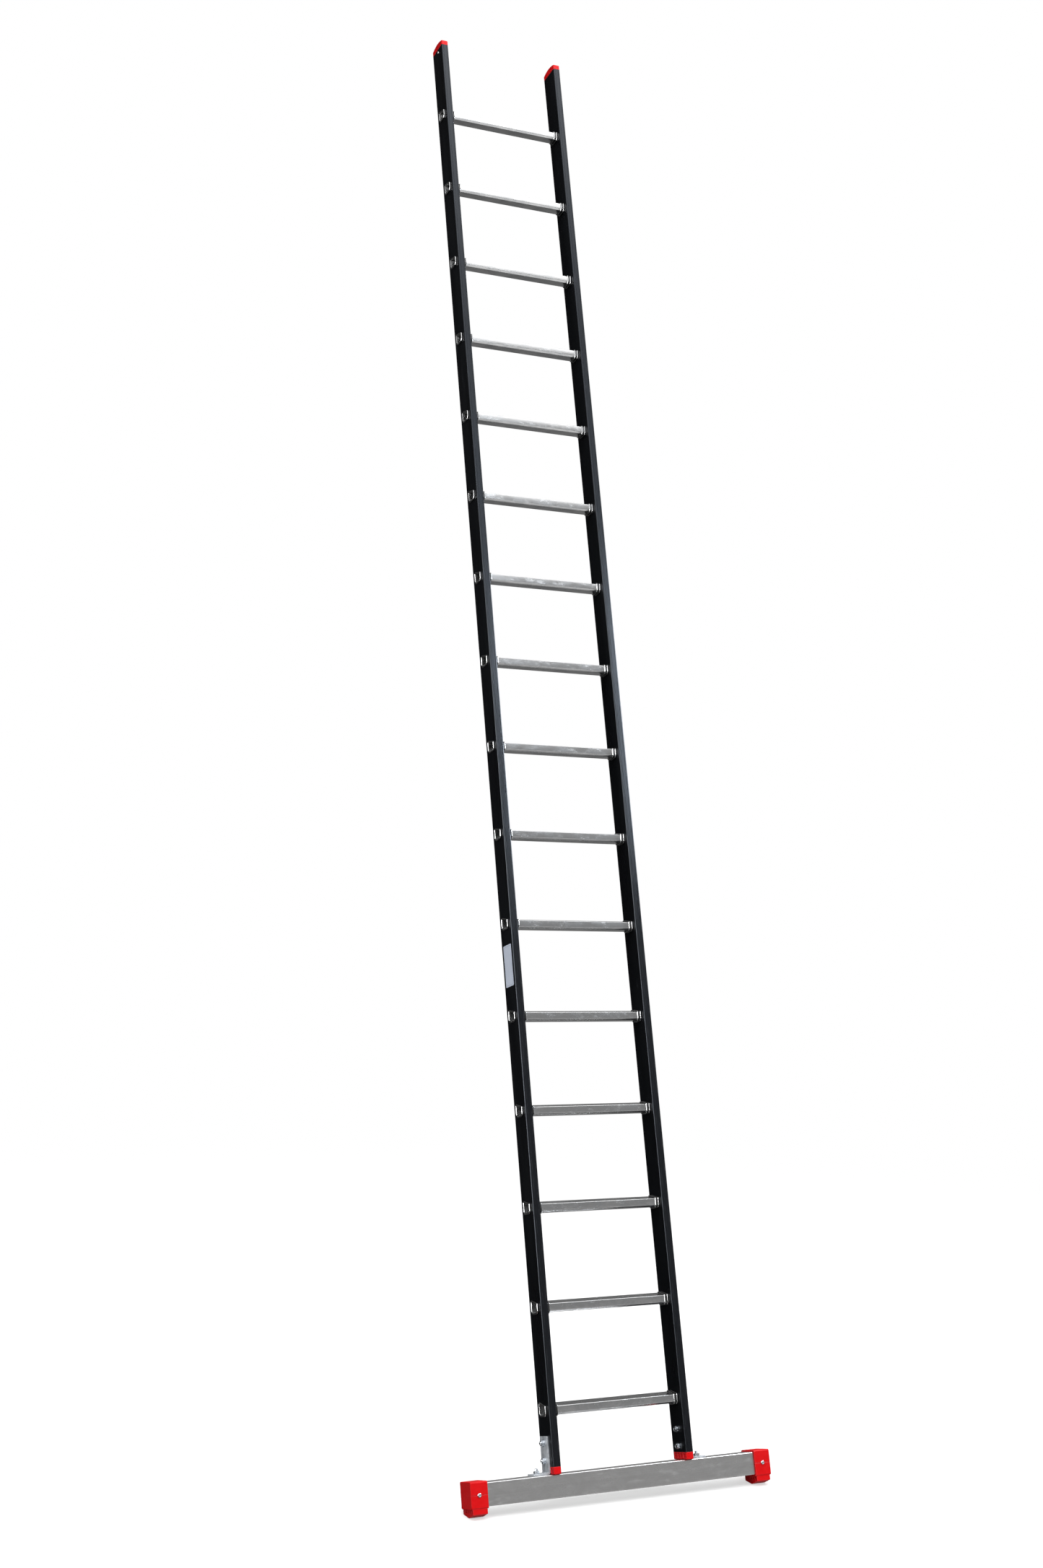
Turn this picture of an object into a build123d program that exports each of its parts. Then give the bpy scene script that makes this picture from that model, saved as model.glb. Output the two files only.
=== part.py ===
"""Straight leaning ladder with sixteen rungs and a stabiliser bar, in millimetres.

Every piece is drawn upright in the ladder's own frame: X across the ladder, Y through its
depth with the climber on the -Y side, Z up along the stiles from the tips of the V feet.
save() then leans each piece to the working angle, which lays the rear soles flat on Z = 0
with the origin midway between them and the top of the ladder towards +Y.
"""
import os
from math import radians, tan

from build123d import *

# Driving dimensions
LEAN = 15.0                 # degrees from vertical when the ladder is in use
RUNG_COUNT = 16
RUNG_PITCH = 250.0
OUTER_WIDTH = 400.0         # over the outer webs of the two stiles
STILE_DEPTH = 70.0
STILE_WIDTH = 21.0
STILE_LENGTH = 4114.0
BAR_SPAN = 854.0            # over the end caps of the stabiliser bar
BAR_SIZE = 56.0

# Stabiliser bar, its end caps and their V feet
BAR_WALL = 2.0
BAR_CORNER = 2.5
CAP_WALL = 4.0
CAP_LENGTH = 46.0
CAP_CORNER = 4.0
CAP_END_ROUND = 1.5
CAP_SIZE = BAR_SIZE + 2 * CAP_WALL
PARTING_LINE_WIDTH = 1.2
PARTING_LINE_DEPTH = 0.6
FOOT_WIDTH = 39.0           # along the bar
FOOT_DEPTH = CAP_SIZE - 3.0
FOOT_END_INSET = 4.0        # foot set back from the cap's closed end
FOOT_EDGE = 12.0            # straight drop below the cap before the V begins
FOOT_SLOT_COUNT = 5         # blind slots across each end of the foot, under the cap
FOOT_SLOT_SPACING = 11.0
FOOT_SLOT_WIDTH = 5.0
FOOT_SLOT_HEIGHT = 9.0
FOOT_SLOT_DEPTH = 6.0
SLOPE = tan(radians(LEAN))
CAP_BOTTOM = FOOT_DEPTH / 2 * SLOPE + FOOT_EDGE
BAR_MIDDLE = CAP_BOTTOM + CAP_SIZE / 2
BAR_TOP = BAR_MIDDLE + BAR_SIZE / 2
BAR_LENGTH = BAR_SPAN - 2 * CAP_WALL
CAP_MIDDLE = (BAR_SPAN - CAP_LENGTH) / 2
FOOT_MIDDLE = (BAR_SPAN - FOOT_WIDTH) / 2 - FOOT_END_INSET

# Stiles
STILE_WALL = 1.8
STILE_CORNER = 3.0
GROOVE_WIDTH = 1.6
GROOVE_DEPTH = 0.7
GROOVE_SPACING = 10.0       # between the two grooves of a flange
WEB_OUTER = OUTER_WIDTH / 2
WEB_INNER = WEB_OUTER - STILE_WIDTH
STILE_CENTRE = WEB_OUTER - STILE_WIDTH / 2
PLUG_HEIGHT = 18.0
STILE_BOTTOM = BAR_TOP + PLUG_HEIGHT
STILE_TOP = STILE_BOTTOM + STILE_LENGTH

# Plastic end pieces of the stiles
SPIGOT_GAP = 0.3
SPIGOT_DEPTH = 30.0
SPIGOT_WALL = 2.5
SPIGOT_WIDTH = STILE_WIDTH - 2 * (STILE_WALL + SPIGOT_GAP)
SPIGOT_LENGTH = STILE_DEPTH - 2 * (STILE_WALL + SPIGOT_GAP)
CROWN_EDGE = 14.0
CROWN_HEIGHT = 21.0
CROWN_ROUND = 2.0
FLUTE_COUNT = 4
FLUTE_WIDTH = 10.0
FLUTE_SPACING = 14.5
FLUTE_HEIGHT = 12.0
FLUTE_DEPTH = 1.4
FLUTE_CORNER = 3.0
PLUG_ROUND = 2.5

# Rungs
FIRST_RUNG = 220.0          # underside of the lowest rung
RUNG_FRONT = -17.0
RUNG_REAR = 16.0
RUNG_FRONT_HEIGHT = 22.0
RUNG_REAR_HEIGHT = RUNG_FRONT_HEIGHT + (RUNG_REAR - RUNG_FRONT) * SLOPE
RUNG_WALL = 1.5
RUNG_CORNER = 1.6
RUNG_BEVEL = 4.5
TREAD_GROOVES = 5
TREAD_GROOVE_SPACING = 5.0
TREAD_GROOVE_WIDTH = 1.6
TREAD_GROOVE_DEPTH = 0.6
BEAD_LENGTH = 4.0
BEAD_RISE = 2.8
BEAD_CHAMFER = 1.2
BEAD_SPACING = 8.5          # between the two beads on the inner side of a stile

# Angle brackets
BRACKET_WIDTH = 40.0
BRACKET_THICKNESS = 4.0
BRACKET_HEIGHT = 91.0
BRACKET_REACH = 46.0
BRACKET_SETBACK = 4.5       # behind the middle of the stile
BRACKET_BEND = 4.0          # inside radius
BRACKET_HEEL = 7.0          # outside radius
BRACKET_CORNER = 3.0

# Fasteners: M8 through the stiles and brackets, M6 through the end caps
BOLT_RADIUS = 4.0
HOLE_RADIUS = 4.3
THREAD_GAP = 0.05
HEX_FLATS = 13.0
HEAD_HEIGHT = 5.3
NUT_HEIGHT = 6.5
WASHER_RADIUS = 8.0
WASHER_THICKNESS = 1.6
STAND_OUT = 3.0             # bolt end beyond its nut
BAR_BOLT_STAND_OUT = 6.0
BOLT_END_CHAMFER = 0.8
STILE_BOLT_HEIGHTS = (BAR_TOP + 33.0, BAR_TOP + 75.0)
BAR_BOLT_X = WEB_OUTER + 30.0
DOME_RADIUS = 9.0
DOME_HEIGHT = 4.5
DOME_ROUND = 3.0
NECK_SIZE = 8.0
CAP_BOLT_RADIUS = 3.0
CAP_HOLE_RADIUS = 3.2
CAP_HEAD_RADIUS = 5.2
CAP_HEAD_HEIGHT = 2.8
CAP_HEAD_ROUND = 1.8
CAP_NUT_FLATS = 10.0
CAP_NUT_HEIGHT = 5.0
CAP_WASHER_RADIUS = 6.0
CAP_WASHER_THICKNESS = 1.2
RIVET_RADIUS = 2.0
RIVET_HEAD_RADIUS = 4.0
RIVET_HEAD_HEIGHT = 1.4
RIVET_HEAD_ROUND = 1.12
RIVET_TAIL_RADIUS = 3.0
RIVET_TAIL_HEIGHT = 2.5
RIVET_CENTRE = (-4.0, STILE_TOP - 10.0)

# Plain label on the outer web of the left stile
LABEL_WIDTH = 48.0
LABEL_HEIGHT = 112.0
LABEL_THICKNESS = 0.3
LABEL_CORNER = 3.0
LABEL_BOTTOM = FIRST_RUNG + 4 * RUNG_PITCH + 94.0

# The middle of the rear sole, which becomes the height of the floor
SOLE_CENTRE = FOOT_DEPTH / 4
WORKING_POSE = Location((0, 0, 0), (-LEAN, 0, 0)) * Location((0, -SOLE_CENTRE, -SOLE_CENTRE * SLOPE))

STILE_BOLT_CENTRES = [(BRACKET_SETBACK, height) for height in STILE_BOLT_HEIGHTS]


def save(piece, node):
    """Lean a finished piece to the working angle, label it and write its STEP file."""
    leaned = piece.moved(WORKING_POSE)
    leaned.label = node
    export_step(leaned, f"parts/{node}.step")


def save_pair(right_piece, node):
    """Write a right-hand piece and its mirror image on the left."""
    save(right_piece, f"{node}_right")
    save(mirror(right_piece, about=Plane.YZ), f"{node}_left")


def rung_heights():
    """Heights of the undersides of all rungs, lowest first."""
    return [FIRST_RUNG + step * RUNG_PITCH for step in range(RUNG_COUNT)]


def make_rung_outline():
    """Cross-section of a rung: the tread slopes so that it is level in use."""
    with BuildSketch(Plane.YZ) as outline:
        with BuildLine():
            Polyline(
                (RUNG_FRONT, 0),
                (RUNG_REAR, 0),
                (RUNG_REAR, RUNG_REAR_HEIGHT),
                (RUNG_FRONT, RUNG_FRONT_HEIGHT),
                close=True,
            )
        make_face()
        lower_corners = outline.vertices().sort_by(Axis.Y)[:2]
        chamfer(lower_corners, RUNG_BEVEL)
        fillet(outline.vertices(), RUNG_CORNER)
    return outline.sketch


def make_stile(rung_outline):
    """Closed box section, grooved flanges, both webs pierced for the rungs and bolts."""
    with BuildPart() as stile:
        with BuildSketch(Plane.XY.offset(STILE_BOTTOM)):
            with Locations((STILE_CENTRE, 0)):
                RectangleRounded(STILE_WIDTH, STILE_DEPTH, STILE_CORNER)
                RectangleRounded(
                    STILE_WIDTH - 2 * STILE_WALL,
                    STILE_DEPTH - 2 * STILE_WALL,
                    STILE_CORNER - STILE_WALL,
                    mode=Mode.SUBTRACT,
                )
                with GridLocations(GROOVE_SPACING, STILE_DEPTH, 2, 2):
                    Rectangle(GROOVE_WIDTH, 2 * GROOVE_DEPTH, mode=Mode.SUBTRACT)
        extrude(amount=STILE_LENGTH)
        for height in rung_heights():
            extrude(rung_outline.moved(Location((0, 0, height))), OUTER_WIDTH, mode=Mode.SUBTRACT)
        with BuildSketch(Plane.YZ):
            with Locations(*STILE_BOLT_CENTRES):
                Circle(HOLE_RADIUS)
        extrude(amount=OUTER_WIDTH, mode=Mode.SUBTRACT)
        with BuildSketch(Plane.YZ.offset(STILE_CENTRE)):
            with Locations(RIVET_CENTRE):
                Circle(RIVET_RADIUS)
        extrude(amount=STILE_WIDTH, mode=Mode.SUBTRACT)
    return stile.part


def make_rung(outline):
    """Hollow rung with beads crimped against both faces of each stile."""
    bore = offset(outline, -RUNG_WALL)
    bead_outline = offset(outline, BEAD_RISE)
    end = WEB_OUTER + BEAD_LENGTH
    web_bead = WEB_INNER - BEAD_LENGTH / 2
    bead_places = [end - BEAD_LENGTH / 2, web_bead, web_bead - BEAD_SPACING]
    tread_length = bead_places[-1] - BEAD_LENGTH / 2
    tread_middle = (RUNG_FRONT + RUNG_REAR) / 2
    tread_height = (RUNG_FRONT_HEIGHT + RUNG_REAR_HEIGHT) / 2
    with BuildPart() as bead:
        extrude(bead_outline, BEAD_LENGTH / 2, both=True)
        chamfer(bead.edges().filter_by(Plane.YZ), BEAD_CHAMFER)
    with BuildPart() as rung:
        extrude(outline, end, both=True)
        with Locations(*[(side * place, 0, 0) for side in (-1, 1) for place in bead_places]):
            add(bead.part)
        extrude(bore, end, both=True, mode=Mode.SUBTRACT)
        with BuildSketch(Plane.YZ):
            with Locations(Location((tread_middle, tread_height, 0), (0, 0, LEAN))):
                with GridLocations(TREAD_GROOVE_SPACING, 1, TREAD_GROOVES, 1):
                    Rectangle(TREAD_GROOVE_WIDTH, 2 * TREAD_GROOVE_DEPTH)
        extrude(amount=tread_length, both=True, mode=Mode.SUBTRACT)
    return rung.part


def make_spigot(start, direction):
    """Hollow tongue of an end piece inside the stile, up or down from the stile's end."""
    with BuildPart() as spigot:
        with BuildSketch(Plane.XY.offset(start)):
            with Locations((STILE_CENTRE, 0)):
                RectangleRounded(SPIGOT_WIDTH, SPIGOT_LENGTH, STILE_CORNER - STILE_WALL)
                Rectangle(
                    SPIGOT_WIDTH - 2 * SPIGOT_WALL,
                    SPIGOT_LENGTH - 2 * SPIGOT_WALL,
                    mode=Mode.SUBTRACT,
                )
        extrude(amount=direction * SPIGOT_DEPTH)
    return spigot.part


def make_top_cap():
    """Crowned cap that closes the top of a stile, riveted through the outer web."""
    with BuildPart() as cap:
        with BuildSketch(Plane.YZ.offset(WEB_INNER)):
            with BuildLine():
                Polyline(
                    (-STILE_DEPTH / 2, STILE_TOP + CROWN_EDGE),
                    (-STILE_DEPTH / 2, STILE_TOP),
                    (STILE_DEPTH / 2, STILE_TOP),
                    (STILE_DEPTH / 2, STILE_TOP + CROWN_EDGE),
                )
                ThreePointArc(
                    (STILE_DEPTH / 2, STILE_TOP + CROWN_EDGE),
                    (0, STILE_TOP + CROWN_HEIGHT),
                    (-STILE_DEPTH / 2, STILE_TOP + CROWN_EDGE),
                )
            make_face()
        extrude(amount=STILE_WIDTH)
        fillet(cap.edges().filter_by(Axis.Z), STILE_CORNER)
        fillet(cap.faces().sort_by(Axis.Z)[-1].edges(), CROWN_ROUND)
        add(make_spigot(STILE_TOP, -1))
        with BuildSketch(Plane.YZ.offset(STILE_CENTRE)):
            with Locations(RIVET_CENTRE):
                Circle(RIVET_RADIUS)
        extrude(amount=STILE_WIDTH, mode=Mode.SUBTRACT)
    return cap.part


def make_rivets():
    """Blind rivets that hold the top caps, one on each outer web."""
    grip = STILE_WALL + SPIGOT_GAP + SPIGOT_WALL
    with BuildPart() as rivets:
        with BuildSketch(Plane.YZ.offset(WEB_OUTER)):
            with Locations(RIVET_CENTRE):
                Circle(RIVET_HEAD_RADIUS)
        extrude(amount=RIVET_HEAD_HEIGHT)
        fillet(rivets.faces().sort_by(Axis.X)[-1].edges(), RIVET_HEAD_ROUND)
        with BuildSketch(Plane.YZ.offset(WEB_OUTER)):
            with Locations(RIVET_CENTRE):
                Circle(RIVET_RADIUS)
        extrude(amount=-grip)
        with BuildSketch(Plane.YZ.offset(WEB_OUTER - grip)):
            with Locations(RIVET_CENTRE):
                Circle(RIVET_TAIL_RADIUS)
        extrude(amount=-RIVET_TAIL_HEIGHT)
        mirror(about=Plane.YZ)
    return rivets.part


def make_bottom_plug():
    """Fluted plug between a stile and the bar, locked by the lower stile bolt."""
    with BuildPart() as plug:
        with BuildSketch(Plane.XY.offset(BAR_TOP)):
            with Locations((STILE_CENTRE, 0)):
                RectangleRounded(STILE_WIDTH, STILE_DEPTH, STILE_CORNER)
        extrude(amount=PLUG_HEIGHT)
        fillet(plug.faces().sort_by(Axis.Z)[0].edges(), PLUG_ROUND)
        for web, inward in ((WEB_OUTER, -1), (WEB_INNER, 1)):
            with BuildSketch(Plane.YZ.offset(web)):
                with Locations((0, BAR_TOP + PLUG_HEIGHT / 2)):
                    with GridLocations(FLUTE_SPACING, 1, FLUTE_COUNT, 1):
                        RectangleRounded(FLUTE_WIDTH, FLUTE_HEIGHT, FLUTE_CORNER)
            extrude(amount=inward * FLUTE_DEPTH, mode=Mode.SUBTRACT)
        add(make_spigot(STILE_BOTTOM, 1))
        with BuildSketch(Plane.YZ):
            with Locations(STILE_BOLT_CENTRES[0]):
                Circle(HOLE_RADIUS)
        extrude(amount=OUTER_WIDTH, mode=Mode.SUBTRACT)
    return plug.part


def make_bracket():
    """Steel angle that bolts a stile's outer web to the top of the bar."""
    with BuildPart() as bracket:
        with BuildSketch(Plane.XZ.offset(-BRACKET_SETBACK)) as section:
            with Locations((WEB_OUTER, BAR_TOP)):
                Rectangle(BRACKET_THICKNESS, BRACKET_HEIGHT, align=(Align.MIN, Align.MIN))
                Rectangle(BRACKET_REACH, BRACKET_THICKNESS, align=(Align.MIN, Align.MIN))
            heel = section.vertices().sort_by(Axis.X)[:2].sort_by(Axis.Y)[0]
            fillet(heel, BRACKET_HEEL)
            bend = section.vertices().sort_by_distance(
                (WEB_OUTER + BRACKET_THICKNESS, BAR_TOP + BRACKET_THICKNESS, 0)
            )[0]
            fillet(bend, BRACKET_BEND)
        extrude(amount=BRACKET_WIDTH / 2, both=True)
        fillet(bracket.edges().filter_by(Axis.X).group_by(Axis.Z)[-1], BRACKET_CORNER)
        fillet(bracket.edges().filter_by(Axis.Z).group_by(Axis.X)[-1], BRACKET_CORNER)
        with BuildSketch(Plane.YZ):
            with Locations(*STILE_BOLT_CENTRES):
                Circle(HOLE_RADIUS)
        extrude(amount=OUTER_WIDTH, mode=Mode.SUBTRACT)
        with BuildSketch(Plane.XY.offset(BAR_TOP)):
            with Locations((BAR_BOLT_X, BRACKET_SETBACK)):
                Circle(HOLE_RADIUS)
        extrude(amount=BRACKET_HEIGHT, mode=Mode.SUBTRACT)
    return bracket.part


def make_stile_bolts():
    """Hex bolts through the stiles, heads between the stiles."""
    under_head = WEB_INNER - WASHER_THICKNESS
    bolt_end = WEB_OUTER + BRACKET_THICKNESS + WASHER_THICKNESS + NUT_HEIGHT + STAND_OUT
    with BuildPart() as bolts:
        with BuildSketch(Plane.YZ.offset(under_head)):
            with Locations(*STILE_BOLT_CENTRES):
                RegularPolygon(HEX_FLATS / 2, 6, major_radius=False)
        extrude(amount=-HEAD_HEIGHT)
        with BuildSketch(Plane.YZ.offset(under_head)):
            with Locations(*STILE_BOLT_CENTRES):
                Circle(BOLT_RADIUS)
        extrude(amount=bolt_end - under_head)
        chamfer(bolts.edges().group_by(Axis.X)[-1], BOLT_END_CHAMFER)
        mirror(about=Plane.YZ)
    return bolts.part


def make_stile_washers():
    """Plain washers under the bolt heads and under the nuts."""
    with BuildPart() as washers:
        for seat in (WEB_INNER - WASHER_THICKNESS, WEB_OUTER + BRACKET_THICKNESS):
            with BuildSketch(Plane.YZ.offset(seat)):
                with Locations(*STILE_BOLT_CENTRES):
                    Circle(WASHER_RADIUS)
                    Circle(HOLE_RADIUS, mode=Mode.SUBTRACT)
            extrude(amount=WASHER_THICKNESS)
        mirror(about=Plane.YZ)
    return washers.part


def make_stile_nuts():
    """Nuts over the brackets."""
    with BuildPart() as nuts:
        with BuildSketch(Plane.YZ.offset(WEB_OUTER + BRACKET_THICKNESS + WASHER_THICKNESS)):
            with Locations(*STILE_BOLT_CENTRES):
                RegularPolygon(HEX_FLATS / 2, 6, major_radius=False)
                Circle(BOLT_RADIUS + THREAD_GAP, mode=Mode.SUBTRACT)
        extrude(amount=NUT_HEIGHT)
        mirror(about=Plane.YZ)
    return nuts.part


def make_stabiliser_bar():
    """Square tube under both stiles, pierced for the bracket and end cap bolts."""
    with BuildPart() as bar:
        with BuildSketch(Plane.YZ):
            with Locations((0, BAR_MIDDLE)):
                RectangleRounded(BAR_SIZE, BAR_SIZE, BAR_CORNER)
                RectangleRounded(
                    BAR_SIZE - 2 * BAR_WALL,
                    BAR_SIZE - 2 * BAR_WALL,
                    BAR_CORNER - BAR_WALL,
                    mode=Mode.SUBTRACT,
                )
        extrude(amount=BAR_LENGTH / 2, both=True)
        with BuildSketch(Plane.XY.offset(BAR_MIDDLE)):
            with Locations((-BAR_BOLT_X, BRACKET_SETBACK), (BAR_BOLT_X, BRACKET_SETBACK)):
                Rectangle(NECK_SIZE, NECK_SIZE)
        extrude(amount=BAR_SIZE, mode=Mode.SUBTRACT)
        with BuildSketch(Plane.XZ):
            with Locations((-CAP_MIDDLE, BAR_MIDDLE), (CAP_MIDDLE, BAR_MIDDLE)):
                Circle(CAP_HOLE_RADIUS)
        extrude(amount=BAR_SIZE, both=True, mode=Mode.SUBTRACT)
    return bar.part


def make_bar_bolts():
    """Carriage bolts with their heads inside the bar and square necks in its top wall."""
    under_head = BAR_TOP - BAR_WALL
    bolt_end = BAR_TOP + BRACKET_THICKNESS + NUT_HEIGHT + BAR_BOLT_STAND_OUT
    with BuildPart() as bolts:
        with BuildSketch(Plane.XY.offset(under_head)):
            with Locations((BAR_BOLT_X, BRACKET_SETBACK)):
                Circle(DOME_RADIUS)
        extrude(amount=-DOME_HEIGHT)
        fillet(bolts.edges().group_by(Axis.Z)[0], DOME_ROUND)
        with BuildSketch(Plane.XY.offset(under_head)):
            with Locations((BAR_BOLT_X, BRACKET_SETBACK)):
                Rectangle(NECK_SIZE, NECK_SIZE)
        extrude(amount=BAR_WALL)
        with BuildSketch(Plane.XY.offset(under_head)):
            with Locations((BAR_BOLT_X, BRACKET_SETBACK)):
                Circle(BOLT_RADIUS)
        extrude(amount=bolt_end - under_head)
        chamfer(bolts.edges().group_by(Axis.Z)[-1], BOLT_END_CHAMFER)
        mirror(about=Plane.YZ)
    return bolts.part


def make_bar_nuts():
    """Nuts that clamp the brackets to the bar."""
    with BuildPart() as nuts:
        with BuildSketch(Plane.XY.offset(BAR_TOP + BRACKET_THICKNESS)):
            with Locations((BAR_BOLT_X, BRACKET_SETBACK)):
                RegularPolygon(HEX_FLATS / 2, 6, major_radius=False)
                Circle(BOLT_RADIUS + THREAD_GAP, mode=Mode.SUBTRACT)
        extrude(amount=NUT_HEIGHT)
        mirror(about=Plane.YZ)
    return nuts.part


def make_end_cap():
    """Sleeve over the end of the bar with a V foot whose rear sole lies flat in use."""
    foot_top = CAP_BOTTOM + CAP_WALL / 2
    with BuildPart() as cap:
        with BuildSketch(Plane.YZ.offset(CAP_MIDDLE)):
            with Locations((0, BAR_MIDDLE)):
                RectangleRounded(CAP_SIZE, CAP_SIZE, CAP_CORNER)
        extrude(amount=CAP_LENGTH / 2, both=True)
        fillet(cap.faces().sort_by(Axis.X)[-1].edges(), CAP_END_ROUND)
        with BuildSketch(Plane.YZ.offset(FOOT_MIDDLE)):
            with BuildLine():
                Polyline(
                    (-FOOT_DEPTH / 2, foot_top),
                    (-FOOT_DEPTH / 2, FOOT_DEPTH / 2 * SLOPE),
                    (0, 0),
                    (FOOT_DEPTH / 2, FOOT_DEPTH / 2 * SLOPE),
                    (FOOT_DEPTH / 2, foot_top),
                    close=True,
                )
            make_face()
        extrude(amount=FOOT_WIDTH / 2, both=True)
        for end in (-1, 1):
            with BuildSketch(Plane.YZ.offset(FOOT_MIDDLE + end * FOOT_WIDTH / 2)):
                with Locations((0, CAP_BOTTOM - FOOT_SLOT_HEIGHT / 2)):
                    with GridLocations(FOOT_SLOT_SPACING, 1, FOOT_SLOT_COUNT, 1):
                        Rectangle(FOOT_SLOT_WIDTH, FOOT_SLOT_HEIGHT)
            extrude(amount=-end * FOOT_SLOT_DEPTH, mode=Mode.SUBTRACT)
        with BuildSketch(Plane.YZ.offset(BAR_SPAN / 2 - CAP_LENGTH)):
            with Locations((0, BAR_MIDDLE)):
                RectangleRounded(BAR_SIZE, BAR_SIZE, BAR_CORNER)
        extrude(amount=CAP_LENGTH - CAP_WALL, mode=Mode.SUBTRACT)
        with BuildSketch(Plane.XZ):
            with Locations((CAP_MIDDLE, BAR_MIDDLE)):
                Circle(CAP_HOLE_RADIUS)
        extrude(amount=CAP_SIZE, both=True, mode=Mode.SUBTRACT)
        with Locations((CAP_MIDDLE, -CAP_SIZE / 2, BAR_MIDDLE), (CAP_MIDDLE, CAP_SIZE / 2, BAR_MIDDLE)):
            Box(CAP_LENGTH, 2 * PARTING_LINE_DEPTH, PARTING_LINE_WIDTH, mode=Mode.SUBTRACT)
    return cap.part


def make_end_cap_bolts():
    """Round-headed bolts from the front through each end cap and the bar."""
    grip = CAP_SIZE + CAP_WASHER_THICKNESS + CAP_NUT_HEIGHT
    with BuildPart() as bolts:
        with BuildSketch(Plane.XZ.offset(CAP_SIZE / 2)):
            with Locations((CAP_MIDDLE, BAR_MIDDLE)):
                Circle(CAP_HEAD_RADIUS)
        extrude(amount=CAP_HEAD_HEIGHT)
        fillet(bolts.faces().sort_by(Axis.Y)[0].edges(), CAP_HEAD_ROUND)
        with BuildSketch(Plane.XZ.offset(CAP_SIZE / 2)):
            with Locations((CAP_MIDDLE, BAR_MIDDLE)):
                Circle(CAP_BOLT_RADIUS)
        extrude(amount=-grip - STAND_OUT)
        chamfer(bolts.edges().group_by(Axis.Y)[-1], BOLT_END_CHAMFER)
        mirror(about=Plane.YZ)
    return bolts.part


def make_end_cap_washers():
    """Washers behind the end caps."""
    with BuildPart() as washers:
        with BuildSketch(Plane.XZ.offset(-CAP_SIZE / 2)):
            with Locations((CAP_MIDDLE, BAR_MIDDLE)):
                Circle(CAP_WASHER_RADIUS)
                Circle(CAP_HOLE_RADIUS, mode=Mode.SUBTRACT)
        extrude(amount=-CAP_WASHER_THICKNESS)
        mirror(about=Plane.YZ)
    return washers.part


def make_end_cap_nuts():
    """Nuts behind the end caps."""
    with BuildPart() as nuts:
        with BuildSketch(Plane.XZ.offset(-CAP_SIZE / 2 - CAP_WASHER_THICKNESS)):
            with Locations((CAP_MIDDLE, BAR_MIDDLE)):
                RegularPolygon(CAP_NUT_FLATS / 2, 6, major_radius=False)
                Circle(CAP_BOLT_RADIUS + THREAD_GAP, mode=Mode.SUBTRACT)
        extrude(amount=-CAP_NUT_HEIGHT)
        mirror(about=Plane.YZ)
    return nuts.part


def make_label():
    """Blank label on the outer web of the left stile."""
    with BuildPart() as label:
        with BuildSketch(Plane.YZ.offset(-WEB_OUTER)):
            with Locations((0, LABEL_BOTTOM + LABEL_HEIGHT / 2)):
                RectangleRounded(LABEL_WIDTH, LABEL_HEIGHT, LABEL_CORNER)
        extrude(amount=-LABEL_THICKNESS)
    return label.part


os.makedirs("parts", exist_ok=True)

rung_outline = make_rung_outline()
rung = make_rung(rung_outline)
for number, height in enumerate(rung_heights(), start=1):
    save(rung.moved(Location((0, 0, height))), f"rung_{number:02d}")

save_pair(make_stile(rung_outline), "stile")
save_pair(make_top_cap(), "top_cap")
save_pair(make_bottom_plug(), "bottom_plug")
save_pair(make_bracket(), "bracket")
save_pair(make_end_cap(), "end_cap")
save(make_rivets(), "top_cap_rivets")
save(make_stile_bolts(), "stile_bolts")
save(make_stile_washers(), "stile_washers")
save(make_stile_nuts(), "stile_nuts")
save(make_stabiliser_bar(), "stabiliser_bar")
save(make_bar_bolts(), "bar_bolts")
save(make_bar_nuts(), "bar_nuts")
save(make_end_cap_bolts(), "end_cap_bolts")
save(make_end_cap_washers(), "end_cap_washers")
save(make_end_cap_nuts(), "end_cap_nuts")
save(make_label(), "label")
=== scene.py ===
"""Looks of the straight leaning ladder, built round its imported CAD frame, in metres.

The ladder leans back by LEAN, so most shapes are drawn in the ladder's own upright axes
(X across, Y through the stiles, Z along them) and then leaned into the row frame.
"""

from math import cos, floor, pi, radians, sin, tan

import bmesh
import bpy
from mathutils import Matrix, Vector


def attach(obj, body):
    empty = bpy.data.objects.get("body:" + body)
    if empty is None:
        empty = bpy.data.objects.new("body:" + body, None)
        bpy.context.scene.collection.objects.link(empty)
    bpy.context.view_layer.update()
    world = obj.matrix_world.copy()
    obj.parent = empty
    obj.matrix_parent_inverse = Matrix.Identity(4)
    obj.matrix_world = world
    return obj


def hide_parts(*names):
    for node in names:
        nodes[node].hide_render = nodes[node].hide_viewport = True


MM = 0.001
LEAN = radians(15)

# Camera: eye height, standing off to the left of the ladder, turned to its right
EYE = Vector((-2.444, -4.491, 1.613))
YAW = radians(-25.12)
PITCH = radians(2.12)
ROLL = radians(1.88)
LENS_MM = 45.65
SENSOR_WIDTH_MM = 36.0

# Rungs
RUNG_BEVEL = 4.5 * MM
RUNG_CORNER = 1.6 * MM
RUNG_WALL = 1.5 * MM
BEAD_LENGTH = 4.0 * MM
BEAD_RISE = 2.8 * MM
BEAD_SPACING = 8.5 * MM
BEAD_STEPS = 10
TREAD_GROOVES = 5
TREAD_GROOVE_SPACING = 5.0 * MM
TREAD_GROOVE_WIDTH = 1.6 * MM
TREAD_GROOVE_DEPTH = 0.6 * MM
GROOVE_RUN_OUT = 2.0 * MM
CORNER_STEPS = 6
PLAIN_START = 1.0 * MM      # plain tube, from this far past the inner web's inner face
FLARE_START = 0.1 * MM      # to this far short of the outer web's outer face
LIP_PROFILE = ((0.0, 0.2 * MM), (0.2 * MM, -0.6 * MM), (0.7 * MM, -1.2 * MM))   # (inset from the end, rise)
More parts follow.
